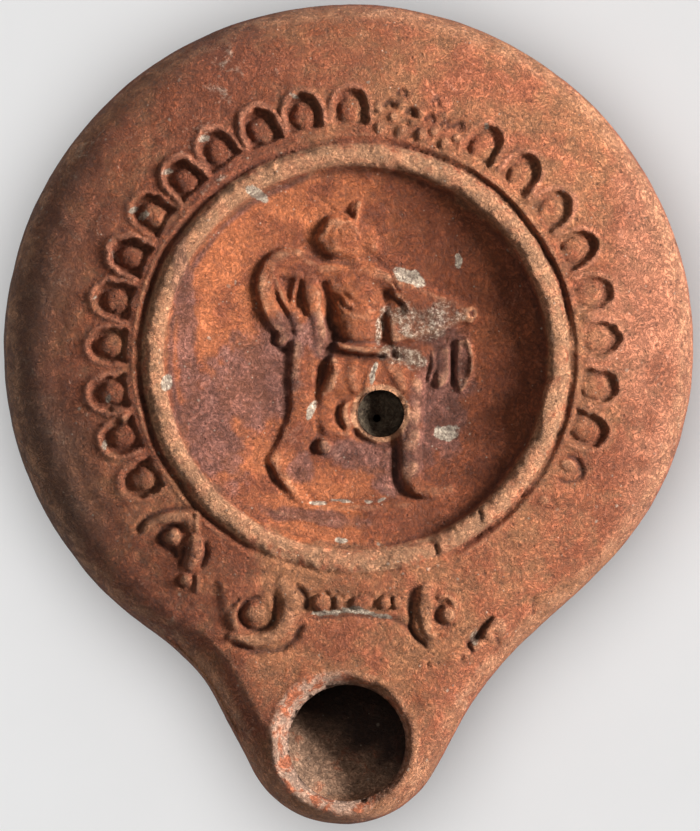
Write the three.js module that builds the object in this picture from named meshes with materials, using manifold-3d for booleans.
// A Roman oil lamp of fired clay, made in a two-part mould and fired as one hollow piece:
// a round reservoir with a sunk discus, a rim, a shoulder with a band of ovoli, and a short
// rounded nozzle between worn volutes.
// Millimetres, +Z up. The lamp stands on its base disc at z = 0, the axis of its body is the
// Z axis, and the nozzle points towards -Y.

import * as THREE from 'three';
import { mergeVertices } from 'three/addons/utils/BufferGeometryUtils.js';
import Module from 'manifold-3d';

const wasm = await Module();
wasm.setup();

// ---------------------------------------------------------------- driving dimensions

// Plan outline: a round body, a little flattened beside the nozzle, and a tapering nozzle.
const BODY_RADIUS = 43.5;
const FLAT_SHARE = 0.089;
const FLAT_TOWARDS = THREE.MathUtils.degToRad(-71.4);
const FLAT_SPREAD = THREE.MathUtils.degToRad(32.6);
const NOZZLE_ROOT_RADIUS = 35.3;
const NOZZLE_TIP_RADIUS = 13;
const NOZZLE_TIP = new THREE.Vector2(-0.64, -46.9);
const NOZZLE_BLEND_LEFT = 4.3;
const NOZZLE_BLEND_RIGHT = 9.6;

// Heights of the outer form.
const WIDEST_Z = 14.5;
const NOZZLE_LIFT = 2;
const NOZZLE_LIFT_FROM = 37.5;
const NOZZLE_REACH = 60;
const SHOULDER_Z = 24.6;
const SHOULDER_SLOPE = 0.22;
const NOZZLE_TOP_Z = 22.6;
const SHOULDER_WIDTH = 11;
const NOZZLE_EDGE_WIDTH = 5.5;
const SHOULDER_POWER = 2.2;
const UNDER_POWER = 1.6;

// Discus, rim and the mouldings round it.
const DISCUS_CENTRE = new THREE.Vector2(0.95, -1.1);
const DISCUS_RADIUS = 24;
const DISCUS_LOW_Z = 20;
const DISCUS_EDGE_Z = 23.4;
const RIM_TOP_Z = 26;
const RIM_OUTER = 26.9;
const FILLET_RADIUS = 27.9;
const MOULDING_OUTER = 28.4;
const RIM_GROOVE_DEPTH = 0.5;

// Base disc with one turned ring.
const BASE_RADIUS = 21;
const BASE_RING_RADIUS = 18.6;
const BASE_RING_WIDTH = 1;
const BASE_RING_DEPTH = 0.6;

// Walls and openings.
const WALL = 3;
const FLOOR_THICKNESS = 3.4;
const HOLLOW_TIGHTENING = 0.8;
const WICK_HOLE = { x: -0.18, y: -49.56, radius: 7.35, lip: 8.4, lipDepth: 1, facets: 30 };
const FILLING_HOLE = { x: 4.03, y: -8.09, radius: 3, lip: 3.3, lipDepth: 0.4, facets: 24 };

// Ovolo band: an egg in its arch, one every OVOLO_STEP degrees, anticlockwise from the right.
const OVOLO_CENTRE = new THREE.Vector2(0.7, -0.7);
const OVOLO_FIRST = -18;
const OVOLO_STEP = 10.88;
const OVOLO_COUNT = 22;
const OVOLO_LOST = [8, 9];
const OVOLO_RADIUS = 30.9;
const ARCH_HALF = new THREE.Vector3(2.1, 2.7, 0.75);
const EGG_HALF = new THREE.Vector3(1.05, 1.6, 0.85);

// Meshing.
const SEGMENTS = 68;
const CAVITY_SEGMENTS = 40;
const NOZZLE_CROWDING = 0.4;
const BISECTIONS = 24;
const FACETS = 6;

const CLAY = new THREE.MeshStandardMaterial({ color: 0xb4694b, roughness: 0.9, metalness: 0 });

// ---------------------------------------------------------------- plan outline

const ORIGIN = new THREE.Vector2(0, 0);
const nozzleLength = NOZZLE_TIP.length();
const nozzleDirection = NOZZLE_TIP.clone().normalize();
const taperSine = (NOZZLE_ROOT_RADIUS - NOZZLE_TIP_RADIUS) / nozzleLength;
const taperCosine = Math.sqrt(1 - taperSine * taperSine);

function bodyDistance(point) {
  const turn = point.angle() - FLAT_TOWARDS;
  const nearTurn = Math.atan2(Math.sin(turn), Math.cos(turn)) / FLAT_SPREAD;
  const flattening = 1 - FLAT_SHARE * Math.exp(-nearTurn * nearTurn);
  return point.length() - BODY_RADIUS * flattening;
}

function nozzleDistance(point) {
  const along = point.dot(nozzleDirection);
  const aside = Math.abs(point.cross(nozzleDirection));
  const onFlank = along * taperCosine - aside * taperSine;
  if (onFlank < 0) return Math.hypot(aside, along) - NOZZLE_ROOT_RADIUS;
  if (onFlank > nozzleLength * taperCosine) {
    return Math.hypot(aside, along - nozzleLength) - NOZZLE_TIP_RADIUS;
  }
  return aside * taperCosine + along * taperSine - NOZZLE_ROOT_RADIUS;
}

// Signed distance to the plan outline, negative inside, with a soft join at the nozzle's root.
function planDistance(point) {
  const body = bodyDistance(point);
  const nozzle = nozzleDistance(point);
  const blend = point.x < 0 ? NOZZLE_BLEND_LEFT : NOZZLE_BLEND_RIGHT;
  const overlap = Math.max(blend - Math.abs(body - nozzle), 0) / blend;
  return Math.min(body, nozzle) - overlap * overlap * blend / 4;
}

function polar(angle, radius, centre = ORIGIN) {
  return new THREE.Vector2(Math.cos(angle), Math.sin(angle)).multiplyScalar(radius).add(centre);
}

function outlineRadius(angle, inset) {
  let inside = NOZZLE_ROOT_RADIUS / 2;
  let outside = 2 * BODY_RADIUS;
  for (let i = 0; i < BISECTIONS; i += 1) {
    const middle = (inside + outside) / 2;
    if (planDistance(polar(angle, middle)) < -inset) inside = middle;
    else outside = middle;
  }
  return inside;
}

// ---------------------------------------------------------------- heights

function discusHeight(fromCentre) {
  const share = fromCentre / DISCUS_RADIUS;
  return DISCUS_LOW_Z + (DISCUS_EDGE_Z - DISCUS_LOW_Z) * share * share;
}

// A quarter of a superellipse: 0 at the outer edge, 1 on the plateau, upright at the edge.
function crown(share, power) {
  const left = 1 - THREE.MathUtils.clamp(share, 0, 1);
  return (1 - left ** power) ** (1 / power);
}

function widestHeight(point) {
  return WIDEST_Z + NOZZLE_LIFT * THREE.MathUtils.smoothstep(-point.y, NOZZLE_LIFT_FROM, NOZZLE_REACH);
}

function shoulderPlateau(point) {
  const beyond = Math.max(point.distanceTo(DISCUS_CENTRE) - MOULDING_OUTER, 0);
  return Math.max(SHOULDER_Z - SHOULDER_SLOPE * beyond, NOZZLE_TOP_Z);
}

// The shoulder rounds over slowly on the body and more quickly along the nozzle.
function shoulderHeight(point, wall) {
  const depthIn = -planDistance(point) - wall;
  const alongNozzle = THREE.MathUtils.smoothstep(-point.y, DISCUS_RADIUS, BODY_RADIUS);
  const width = THREE.MathUtils.lerp(SHOULDER_WIDTH, NOZZLE_EDGE_WIDTH, alongNozzle);
  const low = widestHeight(point);
  const rise = shoulderPlateau(point) - wall - low;
  return low + rise * crown(depthIn / (width - HOLLOW_TIGHTENING * wall), SHOULDER_POWER);
}

// Height of the finished top at a point, without the carving on it.
function topHeight(x, y) {
  const point = new THREE.Vector2(x, y);
  const fromCentre = point.distanceTo(DISCUS_CENTRE);
  return fromCentre < DISCUS_RADIUS ? discusHeight(fromCentre) : shoulderHeight(point, 0);
}

// ---------------------------------------------------------------- the shell and its hollow

// A ring of the shell runs either round a centre at a set height, or part of the way from
// one ring out to the outline or from the outline in to the base.
const turned = (radius, z, centre = DISCUS_CENTRE) => ({
  radius,
  z,
  place: (angle) => new THREE.Vector3(...polar(angle, radius, centre), z),
});

const onShoulder = (share, inner, wall) => ({
  radius: THREE.MathUtils.lerp(inner, BODY_RADIUS - wall, share),
  z: WIDEST_Z,
  place: (angle) => {
    const start = polar(angle, inner, DISCUS_CENTRE);
    const end = polar(angle, outlineRadius(angle, wall));
    const point = start.lerp(end, share);
    return new THREE.Vector3(point.x, point.y, shoulderHeight(point, wall));
  },
});

const onUnderside = (share, inner, wall, floorZ) => ({
  radius: THREE.MathUtils.lerp(BODY_RADIUS - wall, inner, share),
  z: floorZ,
  place: (angle) => {
    const edge = polar(angle, outlineRadius(angle, wall));
    const drop = (widestHeight(edge) - floorZ) * crown(share, UNDER_POWER);
    const point = edge.clone().lerp(polar(angle, inner), share);
    return new THREE.Vector3(point.x, point.y, widestHeight(edge) - drop);
  },
});

// Revolves the rings as a round body, then draws each point out to its place. The points of a
// ring crowd together at the nozzle, where the outline turns sharply.
function shell(rings, segments) {
  const profile = rings.map((ring) => new THREE.Vector2(ring.radius, ring.z));
  const geometry = new THREE.LatheGeometry(profile, segments);
  const position = geometry.attributes.position;
  for (let i = 0; i < position.count; i += 1) {
    const turn = ((Math.floor(i / rings.length) % segments) / segments) * 2 * Math.PI;
    const angle = turn - NOZZLE_CROWDING * Math.sin(turn) - Math.PI / 2;
    const place = rings[i % rings.length].place(angle);
    position.setXYZ(i, place.x, place.y, place.z);
  }
  return geometry;
}

const outerRings = [
  turned(0, 0, ORIGIN),
  turned(BASE_RING_RADIUS - BASE_RING_WIDTH, 0, ORIGIN),
  turned(BASE_RING_RADIUS - BASE_RING_WIDTH / 2, BASE_RING_DEPTH, ORIGIN),
  turned(BASE_RING_RADIUS, 0, ORIGIN),
  ...[1, 0.84, 0.6, 0.32, 0.1].map((share) => onUnderside(share, BASE_RADIUS, 0, 0)),
  ...[1, 0.95, 0.84, 0.66, 0.38].map((share) => onShoulder(share, MOULDING_OUTER, 0)),
  turned(FILLET_RADIUS, SHOULDER_Z + 0.15),
  turned((RIM_OUTER + FILLET_RADIUS) / 2, SHOULDER_Z - RIM_GROOVE_DEPTH),
  turned(RIM_OUTER, SHOULDER_Z + 0.2),
  turned(RIM_OUTER - 0.9, RIM_TOP_Z - 0.15),
  turned(DISCUS_RADIUS + 0.9, RIM_TOP_Z),
  ...[1, 0.75, 0.45].map((share) => turned(share * DISCUS_RADIUS, discusHeight(share * DISCUS_RADIUS))),
  turned(0, DISCUS_LOW_Z),
];

const hollowRings = [
  turned(0, FLOOR_THICKNESS, ORIGIN),
  ...[1, 0.6, 0.2].map((share) => onUnderside(share, BASE_RADIUS - 1, WALL, FLOOR_THICKNESS)),
  ...[1, 0.9, 0.66, 0].map((share) => onShoulder(share, MOULDING_OUTER, WALL)),
  ...[0.95, 0.6].map((share) => turned(share * DISCUS_RADIUS, discusHeight(share * DISCUS_RADIUS) - WALL)),
  turned(0, DISCUS_LOW_Z - WALL),
];

// ---------------------------------------------------------------- solids from geometries

function solid(geometry) {
  geometry.deleteAttribute('normal');
  geometry.deleteAttribute('uv');
  const merged = mergeVertices(geometry, 1e-4);
  const index = merged.index.array;
  const triangles = [];
  for (let i = 0; i < index.length; i += 3) {
    const [a, b, c] = [index[i], index[i + 1], index[i + 2]];
    if (a !== b && b !== c && c !== a) triangles.push(a, b, c);
  }
  return new wasm.Manifold(new wasm.Mesh({
    numProp: 3,
    vertProperties: new Float32Array(merged.attributes.position.array),
    triVerts: new Uint32Array(triangles),
  }));
}

// ---------------------------------------------------------------- carving

// Carving is shaped lying flat at height 0, then laid on the curved top.
function lay(geometry) {
  const position = geometry.attributes.position;
  for (let i = 0; i < position.count; i += 1) {
    position.setZ(i, position.getZ(i) + topHeight(position.getX(i), position.getY(i)));
  }
  return solid(geometry);
}

function mound(x, y, half, turnDegrees = 0) {
  const geometry = new THREE.SphereGeometry(1, 8, 3);
  geometry.rotateX(Math.PI / 2);
  geometry.scale(half.x, half.y, half.z);
  geometry.rotateZ(THREE.MathUtils.degToRad(turnDegrees));
  geometry.translate(x, y, 0);
  return lay(geometry);
}

// A rounded limb or fold between two points, wider or narrower at each end.
function limb({ from, to, wide, rise }) {
  const [start, end] = wide;
  const [dx, dy] = [to[0] - from[0], to[1] - from[1]];
  const length = Math.hypot(dx, dy);
  const slant = Math.SQRT1_2;
  const geometry = new THREE.LatheGeometry([
    new THREE.Vector2(0, -start),
    new THREE.Vector2(start * slant, -start * slant),
    new THREE.Vector2(start, 0),
    new THREE.Vector2(end, length),
    new THREE.Vector2(end * slant, length + end * slant),
    new THREE.Vector2(0, length + end),
  ], FACETS);
  geometry.scale(1, 1, rise / Math.max(start, end));
  geometry.rotateZ(Math.atan2(dy, dx) - Math.PI / 2);
  geometry.translate(from[0], from[1], 0);
  return lay(geometry);
}

// A ridge or a groove of even width along a smooth line.
function stroke(line, radius, steps) {
  const path = new THREE.CatmullRomCurve3(line.map(([x, y]) => new THREE.Vector3(x, y, 0)));
  const section = new THREE.Shape().absarc(0, 0, radius, 0, 2 * Math.PI);
  const options = { steps, curveSegments: FACETS, bevelEnabled: false, extrudePath: path };
  return lay(new THREE.ExtrudeGeometry(section, options));
}

function arcLine(x, y, radius, fromDegrees, toDegrees, count) {
  return Array.from({ length: count }, (_, i) => {
    const turn = THREE.MathUtils.lerp(fromDegrees, toDegrees, i / (count - 1));
    return polar(THREE.MathUtils.degToRad(turn), radius, new THREE.Vector2(x, y)).toArray();
  });
}

function ovoloBand() {
  const arches = [];
  const eggs = [];
  for (let i = 0; i < OVOLO_COUNT; i += 1) {
    if (!OVOLO_LOST.includes(i)) {
      const degrees = OVOLO_FIRST + i * OVOLO_STEP;
      const place = polar(THREE.MathUtils.degToRad(degrees), OVOLO_RADIUS, OVOLO_CENTRE);
      arches.push(mound(place.x, place.y, ARCH_HALF, degrees - 90));
      eggs.push(mound(place.x, place.y, EGG_HALF, degrees - 90));
    }
  }
  return { cut: arches, add: eggs };
}

// An eye is a ring round a boss. Each volute winds its stem round its eye.
function volutes() {
  const eyes = [
    { x: -21.9, y: -24.1, radius: 1.8 },
    { x: -11.8, y: -33.2, radius: 1.9 },
    { x: 12.2, y: -32.6, radius: 1.5 },
  ];
  const rings = eyes.map(({ x, y, radius }) => {
    const ring = new THREE.TorusGeometry(radius, 0.6, 4, 10);
    return lay(ring.translate(x, y, 0));
  });
  const bosses = eyes.map(({ x, y }) => mound(x, y, new THREE.Vector3(0.9, 0.9, 0.7)));
  const stems = [
    stroke(arcLine(-11.8, -33.2, 4.4, 100, -100, 7), 0.9, 8),
    limb({ from: [-19.6, -25.3], to: [-19, -27.4], wide: [1.1, 1.2], rise: 0.8 }),
    mound(-19.4, -30.4, new THREE.Vector3(0.9, 0.9, 0.6)),
    limb({ from: [10.3, -30.2], to: [10, -34.4], wide: [1.1, 1.2], rise: 0.7 }),
  ];
  const grooves = [
    stroke(arcLine(-21.9, -23.8, 4.5, 90, 190, 5), 0.45, 4),
    stroke([[-14.7, -36.7], [-9.9, -38.6], [-6.1, -36.2], [-3, -33.9]], 0.6, 5),
    stroke([[8, -29.6], [7.5, -33], [7.8, -35.5], [9.7, -37.8]], 0.6, 5),
    stroke([[-3, -33.9], [1, -33.5], [5.2, -33.7], [9.7, -37.8]], 0.4, 5),
  ];
  return { cut: grooves, add: [...rings, ...bosses, ...stems] };
}

function beadRow() {
  const row = [
    { x: -3.5, half: 1.1 },
    { x: -1.3, half: 0.7 },
    { x: 1.7, half: 1.2 },
    { x: 4.4, half: 0.9 },
    { x: 6.2, half: 0.8 },
  ];
  return { cut: [], add: row.map(({ x, half }) => mound(x, -31.8, new THREE.Vector3(half, 1.1, 0.8))) };
}

// A striding figure with one arm on the hip and a shield held out on the other.
function figure() {
  const limbs = [
    { from: [-1.3, 14], to: [0.6, 14.3], wide: [2.7, 2.5], rise: 1.5 },
    { from: [0.9, 16.6], to: [1.5, 18.2], wide: [0.7, 0.4], rise: 0.8 },
    { from: [-0.3, 10.6], to: [0.3, 9], wide: [1.7, 2], rise: 1.2 },
    { from: [-3, 8.3], to: [3, 7.9], wide: [2, 2], rise: 1.5 },
    { from: [-0.2, 7], to: [1, 1.2], wide: [3.9, 3.2], rise: 1.6 },
    { from: [1.2, -0.2], to: [2.6, -3.2], wide: [3.7, 4.3], rise: 1.7 },
    { from: [-4.6, 10.2], to: [-9.9, 10.2], wide: [1.4, 1.5], rise: 1.1 },
    { from: [-10, 10], to: [-7.6, 1.6], wide: [1.3, 1.2], rise: 1.1 },
    { from: [-4.6, 6.4], to: [-5.6, -5.6], wide: [0.9, 1.1], rise: 0.9 },
    { from: [4.6, 8], to: [9.4, 6.2], wide: [1.3, 1.2], rise: 1.2 },
    { from: [7, 4.6], to: [13.4, 3.6], wide: [2.9, 2.2], rise: 1 },
    { from: [15.2, 4.2], to: [15.4, 3.8], wide: [1, 1], rise: 1 },
    { from: [14.8, 1.4], to: [14.2, -5], wide: [0.9, 0.5], rise: 0.7 },
    { from: [11.4, -0.4], to: [11.2, -4], wide: [0.6, 0.5], rise: 0.5 },
    { from: [-1.6, -4.4], to: [-4.6, -10.6], wide: [2.6, 1.8], rise: 1.3 },
    { from: [-4.6, -10.6], to: [-9, -15], wide: [1.7, 1.2], rise: 1 },
    { from: [-9.4, -15.2], to: [-6, -18.4], wide: [1.1, 0.9], rise: 0.9 },
    { from: [6.6, -4.8], to: [7.6, -16], wide: [2.2, 1.5], rise: 1.3 },
    { from: [7.8, -17], to: [11.8, -18.2], wide: [1.2, 0.9], rise: 0.9 },
    { from: [-8, -19.2], to: [13.4, -19.2], wide: [0.6, 0.6], rise: 0.5 },
    { from: [-3.3, -12], to: [-3, -12.2], wide: [1, 1], rise: 0.9 },
  ];
  const grooves = [
    stroke([[-1.6, 1], [1.4, -0.6], [4.6, -0.7]], 0.3, 4),
    stroke([[-2.5, 6.4], [-1.9, 2.4], [-3, -1.4], [-4.6, -6.6]], 0.45, 6),
  ];
  return { cut: grooves, add: limbs.map(limb) };
}

// ---------------------------------------------------------------- openings

// A round hole straight down through the top wall, its edge worn to a slope.
function hole({ x, y, radius, lip, lipDepth, facets }, mouthZ) {
  const above = RIM_TOP_Z + WALL;
  const points = [
    new THREE.Vector2(0, WIDEST_Z),
    new THREE.Vector2(radius, WIDEST_Z),
    new THREE.Vector2(radius, mouthZ - lipDepth),
    new THREE.Vector2(lip, mouthZ),
    new THREE.Vector2(lip, above),
    new THREE.Vector2(0, above),
  ];
  const geometry = new THREE.LatheGeometry(points, facets);
  geometry.rotateX(Math.PI / 2);
  geometry.translate(x, y, 0);
  return solid(geometry);
}

// ---------------------------------------------------------------- the lamp

const join = (body, pieces) => pieces.reduce((sum, piece) => sum.add(piece), body);
const carve = (body, tools) => tools.reduce((sum, tool) => sum.subtract(tool), body);

function lampBody() {
  const carvings = [ovoloBand(), volutes(), beadRow(), figure()];
  const outer = solid(shell(outerRings, SEGMENTS));
  const cut = carve(outer, carvings.flatMap((carving) => carving.cut));
  const carved = join(cut, carvings.flatMap((carving) => carving.add));
  const holes = [
    hole(WICK_HOLE, NOZZLE_TOP_Z),
    hole(FILLING_HOLE, topHeight(FILLING_HOLE.x, FILLING_HOLE.y)),
  ];
  return carve(carved, [solid(shell(hollowRings, CAVITY_SEGMENTS)), ...holes]);
}

function meshOf(name, body, material) {
  const { vertProperties, triVerts } = body.getMesh();
  const geometry = new THREE.BufferGeometry();
  geometry.setAttribute('position', new THREE.BufferAttribute(vertProperties, 3));
  geometry.setIndex(new THREE.BufferAttribute(triVerts, 1));
  geometry.computeVertexNormals();
  const mesh = new THREE.Mesh(geometry, material);
  mesh.name = name;
  return mesh;
}

const lamp = new THREE.Group();
lamp.add(meshOf('lamp_body', lampBody(), CLAY));

export default lamp;
